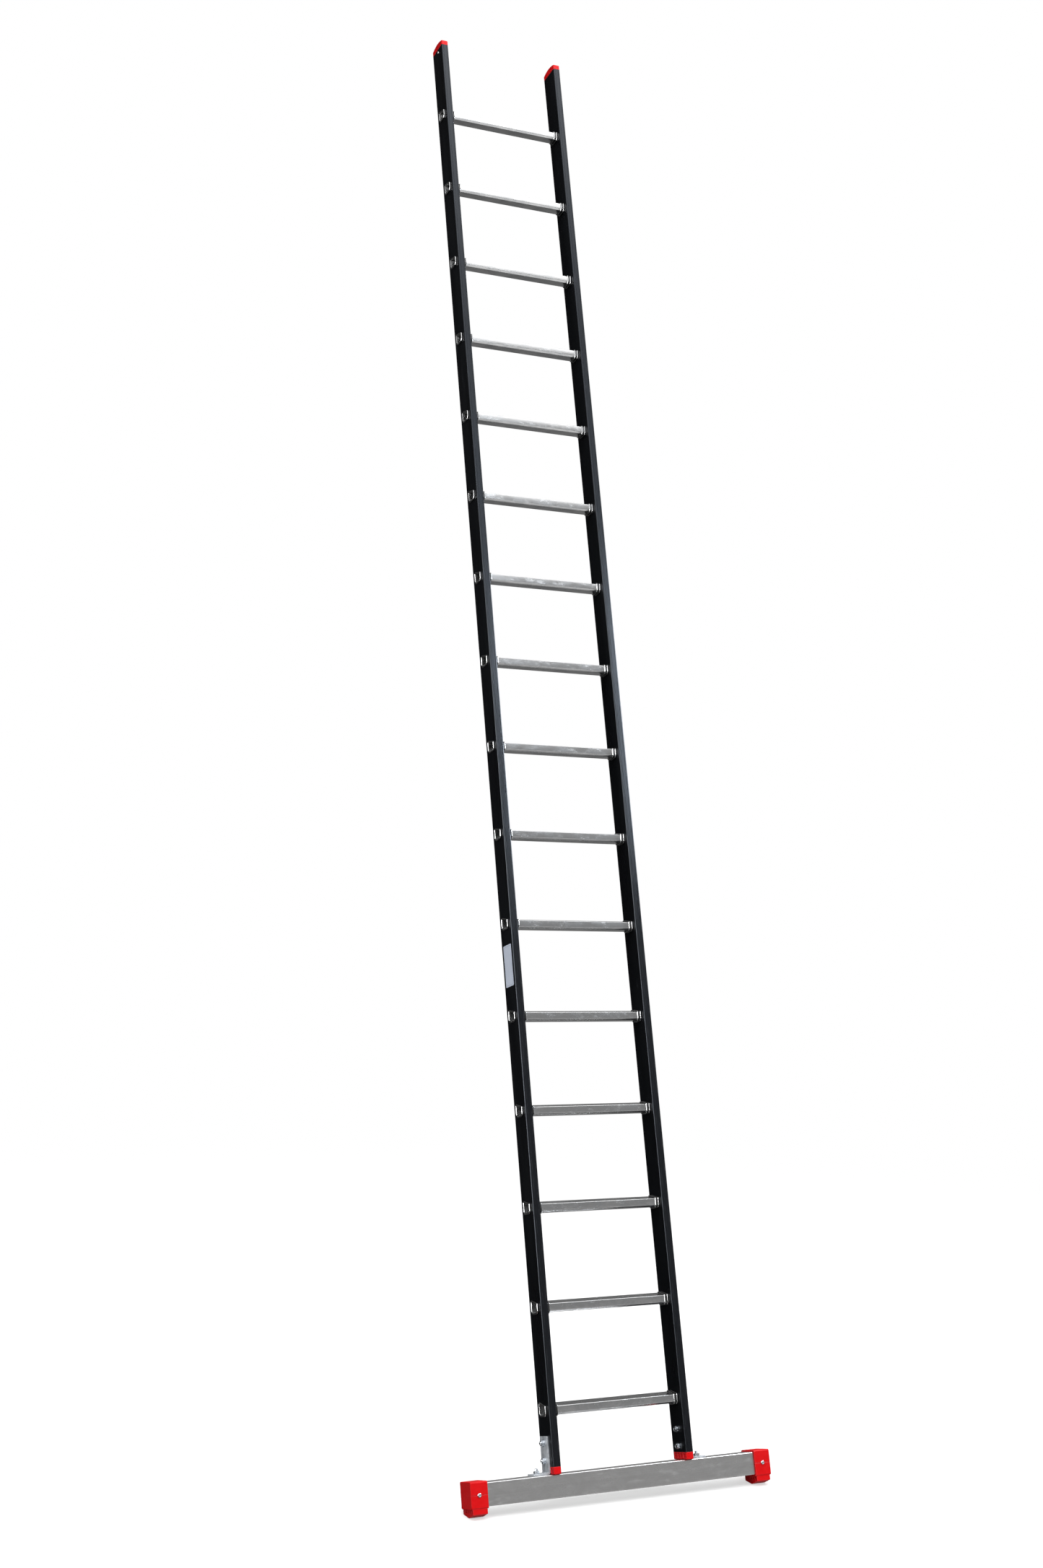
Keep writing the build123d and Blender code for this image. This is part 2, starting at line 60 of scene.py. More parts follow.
GROOVE_PROFILE = ((-0.5, 0), (-0.46, 1), (0.46, 1), (0.5, 0))   # (share of the width, share of the depth)
REAR_TOP, FRONT_TOP = 4, 5  # corners of the section at the ends of the tread

# Fasteners
HEX_STEPS = 60
HEX_CHAMFER = radians(30)
BORE_CHAMFER = 0.5 * MM
THREAD_STEPS = 8            # rings for each turn of thread
M8_PITCH = 1.25 * MM
M6_PITCH = 1.0 * MM
THREAD_DEPTH_SHARE = 0.6    # of the pitch
SEAT_SHARE = 0.97           # round seat of a nut or head, of the width across its flats
TIP_SHARE = 0.82            # chamfered end of a bolt, of its radius
TIP_HEIGHT = 0.8 * MM
POINT_RADIUS = 0.05 * MM    # smallest ring, which closes the end of a turned shape

M8_RADIUS = 4.0 * MM
M8_FLATS = 13.0 * MM
M8_BORE = 4.05 * MM
M8_HEAD_HEIGHT = 5.3 * MM
M8_THREAD_LENGTH = 16 * MM
HEAD_DISH = 0.6 * MM
DOME_RADIUS = 9.0 * MM
DOME_HEIGHT = 4.5 * MM
DOME_EDGE = 0.6 * MM
NECK_HALF = 4.0 * MM
NECK_HEIGHT = 2.0 * MM
M6_RADIUS = 3.0 * MM
M6_FLATS = 10.0 * MM
M6_BORE = 3.05 * MM
M6_HEAD_RADIUS = 5.2 * MM
M6_HEAD_HEIGHT = 2.8 * MM
M6_HEAD_EDGE = 0.4 * MM
M6_TIP_SHARE = 0.8
M6_THREAD_LENGTH = 18 * MM
SOCKET_FLATS = 4.0 * MM
SOCKET_DEPTH = 1.5 * MM
SOCKET_EDGE = 0.15 * MM
SOCKET_FLARE = 1.12         # the socket's mouth against its flats
SOCKET_LIP = 1.3            # where the head's dome begins, of the socket's half width

# Floor
FLOOR_RADIUS = 14.0
FLOOR_SEGMENTS = 96
FLOOR_FADE = (1.5, 6.0)     # distances between which the floor fades out
FLOOR_OPACITY = 0.45

# Studio brightness against height of the direction: -1 straight down, 1 straight up
STUDIO_STRENGTH = 3.0
FRONT_RIGHT_LEVELS = (
    (-1.0, 0.02), (-0.87, 0.03), (-0.77, 0.09), (-0.59, 0.34), (-0.3, 0.15),
    (0.0, 0.13), (0.2, 0.105), (0.34, 0.085), (0.45, 0.085), (0.62, 0.12),
    (0.66, 0.25), (0.70, 0.6), (0.73, 1.0), (0.82, 1.0), (1.0, 0.4),
)
FRONT_LEFT_LEVELS = (
    (-1.0, 0.02), (-0.3, 0.06), (0.1, 0.08), (0.4, 0.2), (0.72, 0.7), (0.82, 0.8), (1.0, 0.4),
)
BACK_RIGHT_LEVELS = ((-1.0, 0.02), (-0.7, 0.06), (0.0, 0.06), (0.4, 0.08), (0.8, 0.25), (1.0, 0.4))
BACK_LEFT_LEVELS = ((-1.0, 0.004), (0.5, 0.004), (0.8, 0.1), (1.0, 0.4))

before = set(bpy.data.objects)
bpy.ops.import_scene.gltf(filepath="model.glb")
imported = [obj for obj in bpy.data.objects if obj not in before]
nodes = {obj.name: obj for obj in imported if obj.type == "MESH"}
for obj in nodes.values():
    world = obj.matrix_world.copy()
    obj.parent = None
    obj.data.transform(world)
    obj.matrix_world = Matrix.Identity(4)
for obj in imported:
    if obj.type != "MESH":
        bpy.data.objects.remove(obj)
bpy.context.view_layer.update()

TO_ROW = Matrix.Rotation(-LEAN, 4, "X")
TO_LADDER = TO_ROW.inverted()


def upright_box(node):
    """Lowest and highest corner of a CAD node in the ladder's own upright axes."""
    points = [TO_LADDER @ v.co for v in nodes[node].data.vertices]
    low = Vector([min(p[axis] for p in points) for axis in range(3)])
    high = Vector([max(p[axis] for p in points) for axis in range(3)])
    return low, high


# ---------------------------------------------------------------- materials

class Finish:
    """A Principled material with short calls for the procedural nodes that feed it."""

    def __init__(self, name, **settings):
        self.material = bpy.data.materials.new(name)
        self.material.use_nodes = True
        self.tree = self.material.node_tree
        self.surface = self.tree.nodes["Principled BSDF"]
        self.place = self.node("ShaderNodeTexCoord").outputs["Object"]
        for socket, value in settings.items():
            self.surface.inputs[socket.replace("_", " ")].default_value = value

    def node(self, kind, **settings):
        made = self.tree.nodes.new(kind)
        for name, value in settings.items():
            setattr(made, name, value)
        return made

    def join(self, value, socket):
        """Feed a socket from another node's output, or set it to a plain value."""
        if isinstance(value, bpy.types.NodeSocket):
            self.tree.links.new(value, socket)
        else:
            socket.default_value = value

    def feed(self, socket, value):
        self.join(value, self.surface.inputs[socket])

    def stretched(self, size):
        """Coordinates in which one unit is size metres, turned with the ladder."""
        mapping = self.node("ShaderNodeMapping", vector_type="TEXTURE")
        self.join(self.place, mapping.inputs["Vector"])
        mapping.inputs["Rotation"].default_value = (-LEAN, 0, 0)
        mapping.inputs["Scale"].default_value = size
        return mapping.outputs["Vector"]

    def noise(self, size, detail=3.0, roughness=0.5, distortion=0.0):
        """Smooth random values from 0 to 1 with features of about size metres."""
        made = self.node("ShaderNodeTexNoise")
        self.join(self.stretched(size), made.inputs["Vector"])
        made.inputs["Scale"].default_value = 1.0
        made.inputs["Detail"].default_value = detail
        made.inputs["Roughness"].default_value = roughness
        made.inputs["Distortion"].default_value = distortion
        return made.outputs["Fac"]

    def cells(self, size, output="Distance", feature="F1"):
        made = self.node("ShaderNodeTexVoronoi", feature=feature)
        self.join(self.stretched(size), made.inputs["Vector"])
        made.inputs["Scale"].default_value = 1.0
        return made.outputs[output]

    def remap(self, value, low, high, to_low=0.0, to_high=1.0):
        """value from low..high to to_low..to_high, held at the ends."""
        made = self.node("ShaderNodeMapRange", interpolation_type="SMOOTHSTEP")
        self.join(value, made.inputs["Value"])
        made.inputs["From Min"].default_value = low
        made.inputs["From Max"].default_value = high
        made.inputs["To Min"].default_value = to_low
        made.inputs["To Max"].default_value = to_high
        return made.outputs["Result"]

    def math(self, operation, first, second=0.0):
        made = self.node("ShaderNodeMath", operation=operation)
        self.join(first, made.inputs[0])
        self.join(second, made.inputs[1])
        return made.outputs["Value"]

    def blend(self, share, first, second):
        """A colour between first and second."""
        made = self.node("ShaderNodeMix", data_type="RGBA")
        self.join(share, made.inputs["Factor"])
        for name, value in (("A", first), ("B", second)):
            socket = next(s for s in made.inputs if s.name == name and s.type == "RGBA")
            self.join(value if isinstance(value, bpy.types.NodeSocket) else (*value, 1.0), socket)
        return next(s for s in made.outputs if s.type == "RGBA")

    def bump(self, height, depth, below=None, strength=1.0):
        """A surface raised by height times depth metres, over another bump."""
        made = self.node("ShaderNodeBump")
        self.join(height, made.inputs["Height"])
        made.inputs["Distance"].default_value = depth
        made.inputs["Strength"].default_value = strength
        if below is not None:
            self.join(below, made.inputs["Normal"])
        return made.outputs["Normal"]

    def edges(self, radius, low=0.02, high=0.3):
        """1 along edges sharper than radius metres, 0 on the flat."""
        true = self.node("ShaderNodeNewGeometry").outputs["Normal"]
        alike = self.node("ShaderNodeVectorMath", operation="DOT_PRODUCT")
        self.join(self.soft_edges(radius), alike.inputs[0])
        self.join(true, alike.inputs[1])
        return self.remap(self.math("SUBTRACT", 1.0, alike.outputs["Value"]), low, high)

    def painted_shade_openness(self, reach):
        """1 on open surfaces, 0 deep in corners and bores narrower than reach metres, for painting shade
        into them.
        """
        made = self.node("ShaderNodeAmbientOcclusion", samples=6)
        made.inputs["Distance"].default_value = reach
        return self.remap(made.outputs["AO"], 0.3, 0.65)

    def soft_edges(self, radius):
        """A normal that rounds sharp edges by radius metres."""
        rounded = self.node("ShaderNodeBevel", samples=6)
        rounded.inputs["Radius"].default_value = radius
        return rounded.outputs["Normal"]


def black_coating():
    """Satin black coat over extruded aluminium: die lines, faint haze, rubbed edges."""
    f = Finish(
        "black_coating", Specular_IOR_Level=0.5, Specular_Tint=(0.80, 0.88, 1.0, 1.0),
        Anisotropic_Rotation=0.25,
    )
    die_lines = f.noise((0.0013, 0.0013, 2.5), detail=4, roughness=0.6)
    haze = f.noise((0.05, 0.05, 0.35), detail=4)
    scuffs = f.remap(f.noise((0.012, 0.012, 0.09), detail=6, roughness=0.7, distortion=0.4), 0.62, 0.74)
    rubbed = f.math("MULTIPLY", f.edges(0.0012), f.remap(f.noise((0.004, 0.004, 0.03), detail=4), 0.45, 0.7))
    coat = f.blend(haze, (0.0012, 0.0013, 0.0019), (0.0026, 0.0028, 0.0038))
    scuffed = f.blend(f.math("MULTIPLY", scuffs, 0.35), coat, (0.02, 0.021, 0.024))
    f.feed("Base Color", f.blend(f.math("MULTIPLY", rubbed, 0.5), scuffed, (0.10, 0.10, 0.11)))
    gloss = f.remap(haze, 0.3, 0.7, 0.27, 0.34)
    f.feed("Roughness", f.math("ADD", gloss, f.math("MULTIPLY", scuffs, 0.16)))
    along = f.node("ShaderNodeCombineXYZ")
    for axis, share in zip("XYZ", (0.0, sin(LEAN), cos(LEAN))):
        along.inputs[axis].default_value = share
    f.feed("Tangent", along.outputs["Vector"])
    outward = f.node("ShaderNodeSeparateXYZ")
    f.join(f.node("ShaderNodeNewGeometry").outputs["Normal"], outward.inputs["Vector"])
    on_web = f.math("ABSOLUTE", outward.outputs["X"])
    f.feed("Anisotropic", f.remap(on_web, 0.3, 0.8, 0.85, 0.0))
    f.feed("Normal", f.bump(die_lines, 0.00003, below=f.soft_edges(0.0006), strength=0.5))
    return f.material


def bare_aluminium(name, along_x, line_width, bright, dull, gloss, cloud_size):
    """Mill finish aluminium: extrusion lines along X, cloudy handling marks, fine scratches, and painted
    shade in bores and crevices.
    """
    f = Finish(name, Metallic=1.0)
    lines = f.noise((along_x, line_width, line_width), detail=5, roughness=0.65)
    cloud = (cloud_size, cloud_size * 0.6, cloud_size * 0.6)
    clouds = f.noise(cloud, detail=5, roughness=0.6, distortion=0.8)
    smears = f.noise((cloud_size * 0.5, 0.012, 0.012), detail=6, roughness=0.7)
    scratches = f.remap(f.noise((0.03, 0.0006, 0.0006), detail=2, distortion=1.2), 0.66, 0.72)
    tone = f.blend(f.remap(clouds, 0.35, 0.65), bright, dull)
    lined = f.blend(f.math("MULTIPLY", lines, 0.55), tone, tuple(c * 0.7 for c in dull))
    scored = f.blend(f.math("MULTIPLY", scratches, 0.25), lined, tuple(min(1, c * 1.15) for c in bright))
    wiped = f.blend(f.math("MULTIPLY", f.remap(smears, 0.52, 0.72), 0.3), scored, bright)
    rubbed = f.blend(f.math("MULTIPLY", f.edges(0.001), 0.4), wiped, (0.85, 0.85, 0.85))
    # painted shade: bores, corners and crevices blended to near black by ambient occlusion
    f.feed("Base Color", f.blend(f.painted_shade_openness(0.025), (0.03, 0.03, 0.03), rubbed))
    base = f.remap(clouds, 0.3, 0.7, gloss, gloss + 0.10)
    f.feed("Roughness", f.math("ADD", base, f.math("MULTIPLY", f.remap(smears, 0.5, 0.7), 0.08)))
    grained = f.bump(lines, 0.000008, strength=0.5)
    f.feed("Normal", f.bump(scratches, 0.000006, below=grained, strength=0.4))
    return f.material


def red_plastic():
    """Moulded red plastic: fine spark-eroded grain, flow marks, and paler edges that are a painted
    highlight.
    """
    f = Finish("red_plastic", Specular_IOR_Level=0.15)
    grain = f.noise((0.0005, 0.0005, 0.0005), detail=2)
    flow = f.noise((0.02, 0.02, 0.012), detail=4, distortion=1.0)
    dust = f.remap(f.noise((0.006, 0.006, 0.006), detail=6, roughness=0.75), 0.58, 0.75)
    # painted highlight: paler pink lines along the edges, patchy with the flow marks
    painted_edge_highlight = f.math("MULTIPLY", f.edges(0.0016, 0.005, 0.2), f.remap(flow, 0.25, 0.55))
    body = f.blend(flow, (0.44, 0.0, 0.001), (0.54, 0.0002, 0.002))
    dusty = f.blend(f.math("MULTIPLY", dust, 0.05), body, (0.34, 0.06, 0.05))
    f.feed("Base Color", f.blend(f.math("MULTIPLY", painted_edge_highlight, 0.6), dusty, (0.72, 0.10, 0.12)))
    f.feed("Roughness", f.remap(flow, 0.3, 0.7, 0.36, 0.5))
    f.feed("Normal", f.bump(grain, 0.00003, below=f.soft_edges(0.0009), strength=0.5))
    return f.material


def galvanised_steel():
    """Hot-dip zinc: soft spangles of differing tone, white bloom, a lumpy skin."""
    f = Finish("galvanised_steel", Metallic=0.4)
    spangle = f.cells((0.006, 0.006, 0.006), output="Color")
    tone = f.remap(spangle, 0.0, 1.0)
    bloom = f.remap(f.noise((0.02, 0.02, 0.03), detail=6, roughness=0.7), 0.45, 0.7)
    lumps = f.noise((0.005, 0.005, 0.005), detail=3)
    runs = f.noise((0.003, 0.003, 0.04), detail=4)
    zinc = f.blend(tone, (0.36, 0.38, 0.41), (0.52, 0.55, 0.58))
    bloomed = f.blend(f.math("MULTIPLY", bloom, 0.5), zinc, (0.62, 0.65, 0.68))
    f.feed("Base Color", f.blend(f.math("MULTIPLY", f.edges(0.0012), 0.6), bloomed, (0.8, 0.82, 0.85)))
    f.feed("Roughness", f.math("ADD", f.remap(tone, 0, 1, 0.36, 0.5), f.math("MULTIPLY", bloom, 0.12)))
    lumpy = f.bump(lumps, 0.00012, below=f.soft_edges(0.0008), strength=0.5)
    f.feed("Normal", f.bump(runs, 0.00005, below=lumpy, strength=0.4))
    return f.material


def zinc_plated_steel():
    """Bright zinc plate: faint blue tint, tool marks, dull spots and rubbed corners."""
    f = Finish("zinc_plated_steel", Metallic=1.0)
    marks = f.noise((0.0007, 0.0007, 0.0007), detail=4, roughness=0.7)
    dull = f.remap(f.noise((0.004, 0.004, 0.004), detail=5), 0.5, 0.7)
    plate = f.blend(marks, (0.62, 0.66, 0.72), (0.76, 0.79, 0.82))
    dulled = f.blend(f.math("MULTIPLY", dull, 0.5), plate, (0.48, 0.5, 0.52))
    f.feed("Base Color", f.blend(f.math("MULTIPLY", f.edges(0.0005), 0.7), dulled, (0.9, 0.91, 0.92)))
    f.feed("Roughness", f.math("ADD", f.remap(marks, 0.3, 0.7, 0.18, 0.3), f.math("MULTIPLY", dull, 0.15)))
    f.feed("Normal", f.bump(marks, 0.00003, below=f.soft_edges(0.0003), strength=0.4))
    return f.material


def rivet_aluminium():
    """Bright drawn aluminium with a slightly dimpled head."""
    f = Finish("rivet_aluminium", Metallic=1.0)
    dimples = f.noise((0.0012, 0.0012, 0.0012), detail=4)
    stains = f.remap(f.noise((0.003, 0.003, 0.003), detail=5), 0.45, 0.7)
    f.feed("Base Color", f.blend(stains, (0.88, 0.88, 0.88), (0.66, 0.66, 0.67)))
    f.feed("Roughness", f.remap(dimples, 0.3, 0.7, 0.2, 0.34))
    f.feed("Normal", f.bump(dimples, 0.00004, below=f.soft_edges(0.0003), strength=0.4))
    return f.material


def label_film():
    """Blank satin film: silvery print ground, a printed frame line, small bubbles and dirt."""
    f = Finish("label_film", Coat_Weight=0.4, Coat_Roughness=0.12, Specular_IOR_Level=0.5)
    low, high = upright_box("label")
    centre = (low + high) / 2
    upright = f.node("ShaderNodeSeparateXYZ")
    f.join(f.stretched((1, 1, 1)), upright.inputs["Vector"])
    border = 4.0 * MM
    line = 0.9 * MM
    near_edge = []
    for axis, name in ((1, "Y"), (2, "Z")):
        off_centre = f.math("ABSOLUTE", f.math("SUBTRACT", upright.outputs[name], centre[axis]))
        near_edge.append(f.math("SUBTRACT", off_centre, (high[axis] - low[axis]) / 2 - border))
    from_line = f.math("ABSOLUTE", f.math("MAXIMUM", *near_edge))
    printed = f.remap(from_line, line / 2, line / 2 + 0.2 * MM, 1.0, 0.0)
    bubbles = f.noise((0.004, 0.004, 0.004), detail=3)
    dirt = f.remap(f.noise((0.01, 0.006, 0.02), detail=6, roughness=0.7), 0.55, 0.75)
    ground = f.blend(f.noise((0.03, 0.03, 0.05)), (0.60, 0.66, 0.78), (0.72, 0.78, 0.9))
    dirty = f.blend(f.math("MULTIPLY", dirt, 0.25), ground, (0.4, 0.4, 0.42))
    f.feed("Base Color", f.blend(f.math("MULTIPLY", printed, 0.55), dirty, (0.2, 0.23, 0.32)))
    f.feed("Roughness", f.remap(bubbles, 0.3, 0.7, 0.28, 0.4))
    f.feed("Normal", f.bump(bubbles, 0.00006, strength=0.4))
    return f.material


FINISHES = {
    "black_coating": black_coating(),
    "rung_aluminium": bare_aluminium(
        "rung_aluminium",
        along_x=0.5,
        line_width=0.0012,
        bright=(0.78, 0.78, 0.78),
        dull=(0.60, 0.605, 0.61),
        gloss=0.15,
        cloud_size=0.05,
    ),
    "bar_aluminium": bare_aluminium(
        "bar_aluminium",
        along_x=0.9,
        line_width=0.0028,
        bright=(0.80, 0.795, 0.79),
        dull=(0.62, 0.612, 0.605),
        gloss=0.26,
        cloud_size=0.075,
    ),
    "red_plastic": red_plastic(),
    "galvanised_steel": galvanised_steel(),
    "zinc_plated_steel": zinc_plated_steel(),
    "rivet_aluminium": rivet_aluminium(),
    "label_film": label_film(),
}

FINISH_OF = {
    "stile_left": "black_coating",
    "stile_right": "black_coating",
    "stabiliser_bar": "bar_aluminium",
    "bracket_left": "galvanised_steel",
    "bracket_right": "galvanised_steel",
    "stile_washers": "zinc_plated_steel",
    "end_cap_washers": "zinc_plated_steel",
    "top_cap_rivets": "rivet_aluminium",
    "label": "label_film",
}
for part in ("top_cap", "bottom_plug", "end_cap"):
    for side in ("left", "right"):
        FINISH_OF[f"{part}_{side}"] = "red_plastic"


def finish_cad_nodes():
    """Give every CAD node that stays its procedural material."""
    for node, slot in FINISH_OF.items():
        materials = nodes[node].data.materials
        materials.clear()
        materials.append(FINISHES[slot])


# ------------------------------------------------------------------- pieces

def add_piece(name, mesh_builder, replaced, slot, angle=35):
    """Turn a bmesh in the row frame into a smooth-shaded piece that replaces a CAD node."""
    mesh = bpy.data.meshes.new(name)
    bmesh.ops.recalc_face_normals(mesh_builder, faces=mesh_builder.faces)
    mesh_builder.to_mesh(mesh)
    mesh_builder.free()
    mesh.shade_smooth()
    mesh.set_sharp_from_angle(angle=radians(angle))
    mesh.materials.append(FINISHES[slot])
    piece = bpy.data.objects.new(name, mesh)
    bpy.context.scene.collection.objects.link(piece)
    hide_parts(replaced)
    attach(piece, "root")
    return piece


def skin_rings(builder, rings, closed):
    """Join rings of equally many points by quads; closed joins the last ring to the first."""
    made = [[builder.verts.new(point) for point in ring] for ring in rings]
    count = len(made[0])
    pairs = list(zip(made, made[1:]))
    if closed:
        pairs.append((made[-1], made[0]))
    for lower, upper in pairs:
        for i in range(count):
            j = (i + 1) % count
            builder.faces.new((lower[i], lower[j], upper[j], upper[i]))
    if not closed:
        builder.faces.new(reversed(made[0]))
        builder.faces.new(made[-1])


def rung_section(low, high):
    """Points round a rung as (y, z, outward y, outward z, groove share), in upright axes."""
    front, rear = low.y + BEAD_RISE, high.y - BEAD_RISE
    bottom = low.z + BEAD_RISE
    rear_height = high.z - BEAD_RISE - bottom
    front_height = rear_height - (rear - front) * tan(LEAN)
    corners = [
        (front, bottom + RUNG_BEVEL),
        (front + RUNG_BEVEL, bottom),
        (rear - RUNG_BEVEL, bottom),
        (rear, bottom + RUNG_BEVEL),
        (rear, bottom + rear_height),
        (front, bottom + front_height),
    ]
    corners = [Vector(corner) for corner in corners]
    section = []
    for i, corner in enumerate(corners):
        arriving = (corner - corners[i - 1]).normalized()
        leaving = (corners[(i + 1) % len(corners)] - corner).normalized()
        turn = arriving.angle(leaving)
        start = corner - arriving * RUNG_CORNER * tan(turn / 2)
        middle = start + Vector((-arriving.y, arriving.x)) * RUNG_CORNER
        outward = (start - middle).normalized()
        for step in range(CORNER_STEPS + 1):
            angle = turn * step / CORNER_STEPS
            away = Matrix.Rotation(angle, 2) @ outward
            section.append((*(middle + away * RUNG_CORNER), *away, 0.0))
        if i == REAR_TOP:
            section.extend(tread_points(corner, corners[FRONT_TOP], leaving))
    return section


def tread_points(rear_top, front_top, forward):
    """Points across the tread, dipping into each groove."""
    outward = Vector((forward.y, -forward.x))
    middle = (rear_top + front_top) / 2
    points = []
    for groove in range(TREAD_GROOVES):
        centre = (groove - (TREAD_GROOVES - 1) / 2) * TREAD_GROOVE_SPACING
        for across, share in GROOVE_PROFILE:
            place = middle + forward * (centre + across * TREAD_GROOVE_WIDTH)
            points.append((*place, *outward, share))
    return points


def bead_profile(start, length, rise):
    """Stations over a rounded bead as (x, rise, groove share)."""
    stations = []
    for step in range(BEAD_STEPS + 1):
        angle = pi * step / BEAD_STEPS
        stations.append((start + length / 2 * (1 - cos(angle)), rise * sin(angle), 0.0))
    return stations


def rung_stations(half_length, web_inner, web_outer):
    """Right half of a rung's skin, from its middle over the outside and back along the bore."""
    inner_bead = web_inner - BEAD_LENGTH - BEAD_SPACING
    lip = half_length - RUNG_WALL
    stations = [(0.0, 0.0, 1.0)]
    stations.append((inner_bead - 3 * GROOVE_RUN_OUT, 0.0, 1.0))
    stations.append((inner_bead - 2 * GROOVE_RUN_OUT, 0.0, 0.0))
    stations += bead_profile(inner_bead, BEAD_LENGTH, BEAD_RISE)
    stations += bead_profile(web_inner - BEAD_LENGTH, BEAD_LENGTH, BEAD_RISE)
    stations += [(web_inner + PLAIN_START, 0.0, 0.0), (web_outer - FLARE_START, 0.0, 0.0)]
    flare = (half_length - web_outer) / 2
    for step in range(1, BEAD_STEPS):
        angle = pi * step / BEAD_STEPS
        stations.append((web_outer + flare * (1 - cos(angle)), BEAD_RISE * sin(angle) ** 0.7, 0.0))
    stations += [(half_length - inset, rise, 0.0) for inset, rise in LIP_PROFILE]
    stations += [(lip, -RUNG_WALL, 0.0), (0.0, -RUNG_WALL, 0.0)]
    return stations


def build_rungs():
    """Rungs whose beads are rolled against both faces of each stile."""
    web_outer = upright_box("stile_right")[1].x
    web_inner = upright_box("stile_right")[0].x
    for name in sorted(n for n in nodes if n.startswith("rung_")):
        low, high = upright_box(name)
        section = rung_section(low, high)
        half = rung_stations(high.x, web_inner, web_outer)
        bore_start = half.index((high.x - RUNG_WALL, -RUNG_WALL, 0.0))
        outside, inside = half[:bore_start], half[bore_start:]
        mirrored = [(-x, rise, share) for x, rise, share in reversed(outside[1:])]
        back = [(-x, rise, share) for x, rise, share in reversed(inside[:-1])]
        loop = mirrored + outside + inside[:1] + back[:1]
        rings = []
        for x, rise, grooved in loop:
            ring = []
            for y, z, out_y, out_z, share in section:
                lift = rise - share * grooved * TREAD_GROOVE_DEPTH
                ring.append(TO_ROW @ Vector((x, y + out_y * lift, z + out_z * lift)))
            rings.append(ring)
        builder = bmesh.new()
        skin_rings(builder, rings, closed=True)
        add_piece(f"{name}_rolled", builder, name, "rung_aluminium", angle=28)


def hexagon(flats, angle):
    """Radius of a hexagon of that width across its flats, at an angle."""
    from_flat = (angle + pi / 6) % (pi / 3) - pi / 6
    return flats / 2 / cos(from_flat)


def placed_rings(place, profile):
    """Rings round a local Z axis: profile holds functions from an angle to (radius, height)."""
    angles = [2 * pi * i / HEX_STEPS for i in range(HEX_STEPS)]
    rings = []
    for at in profile:
        ring = []
        for angle in angles:
            radius, height = at(angle)
            ring.append(place @ Vector((radius * cos(angle), radius * sin(angle), height)))
        rings.append(ring)
    return rings


def plain(radius, height):
    """A round ring."""
    return lambda angle: (radius, height)


def hex_ring(flats, height, end):
    """The hexagon's edge where the cone that chamfers its end cuts it."""
    def at(angle):
        radius = hexagon(flats, angle)
        return radius, height - end * (radius - flats / 2 * SEAT_SHARE) * tan(HEX_CHAMFER)
    return at


def thread_rings(radius, pitch, start, end):
    """Rings down a screw thread from start to end, which may lie below start."""
    depth = THREAD_DEPTH_SHARE * pitch
    count = max(2, int(abs(end - start) / pitch * THREAD_STEPS))
    rings = []
    for i in range(count + 1):
        height = start + (end - start) * i / count
        fade = min(1.0, 2.0 * i / THREAD_STEPS, 2.0 * (count - i) / THREAD_STEPS)
        rings.append(thread_ring(radius, pitch, depth * fade, height))
    return rings


def thread_ring(radius, pitch, depth, height):
    """A ring across the thread: its radius dips where the helix passes."""
    def at(angle):
        turns = height / pitch - angle / (2 * pi)
        along = turns - floor(turns)
        return radius - depth * (1 - abs(2 * along - 1)), height
    return at


def nut_profile(flats, height, bore):
    """A nut chamfered outside and round its bore, as a closed loop."""
    return [
        plain(bore, BORE_CHAMFER),
        plain(bore + BORE_CHAMFER, 0.0),
        plain(flats / 2 * SEAT_SHARE, 0.0),
        hex_ring(flats, 0.0, -1),
        hex_ring(flats, height, 1),
        plain(flats / 2 * SEAT_SHARE, height),
        plain(bore + BORE_CHAMFER, height),
        plain(bore, height - BORE_CHAMFER),
    ]


def facing(direction, point):
    """A frame at point whose Z axis is direction, both in upright axes, leaned into the row frame."""
    turn = Vector((0, 0, 1)).rotation_difference(Vector(direction)).to_matrix().to_4x4()
    return TO_ROW @ Matrix.Translation(point) @ turn


def cluster_boxes(node):
    """The upright boxes of a node's separate solids, one for each fastener."""
    mesh = nodes[node].data
    builder = bmesh.new()
    builder.from_mesh(mesh)
    bmesh.ops.remove_doubles(builder, verts=builder.verts, dist=1e-6)
    seen, boxes = set(), []
    for vert in builder.verts:
        if vert in seen:
            continue
        shell, todo = [], [vert]
        seen.add(vert)
        while todo:
            here = todo.pop()
            shell.append(TO_LADDER @ here.co)
            for edge in here.link_edges:
                other = edge.other_vert(here)
                if other not in seen:
                    seen.add(other)
                    todo.append(other)
        low = Vector([min(p[k] for p in shell) for k in range(3)])
        high = Vector([max(p[k] for p in shell) for k in range(3)])
        boxes.append((low, high))
    builder.free()
    return boxes


def build_nuts(node, direction_of, flats, bore):
    """Chamfered nuts in the place of a CAD node's plain ones."""
    builder = bmesh.new()
    for low, high in cluster_boxes(node):
        direction = direction_of(low, high)
        centre = (low + high) / 2
        height = abs((high - low).dot(Vector(direction)))
        seat = centre - Vector(direction) * height / 2
        rings = placed_rings(facing(direction, seat), nut_profile(flats, height, bore))
        skin_rings(builder, rings, closed=True)
    add_piece(f"{node}_chamfered", builder, node, "zinc_plated_steel")


def sideways(low, high):
    """Away from the middle of the ladder."""
    return (1, 0, 0) if low.x > 0 else (-1, 0, 0)


def upwards(low, high):
    return (0, 0, 1)


def backwards(low, high):
    return (0, 1, 0)


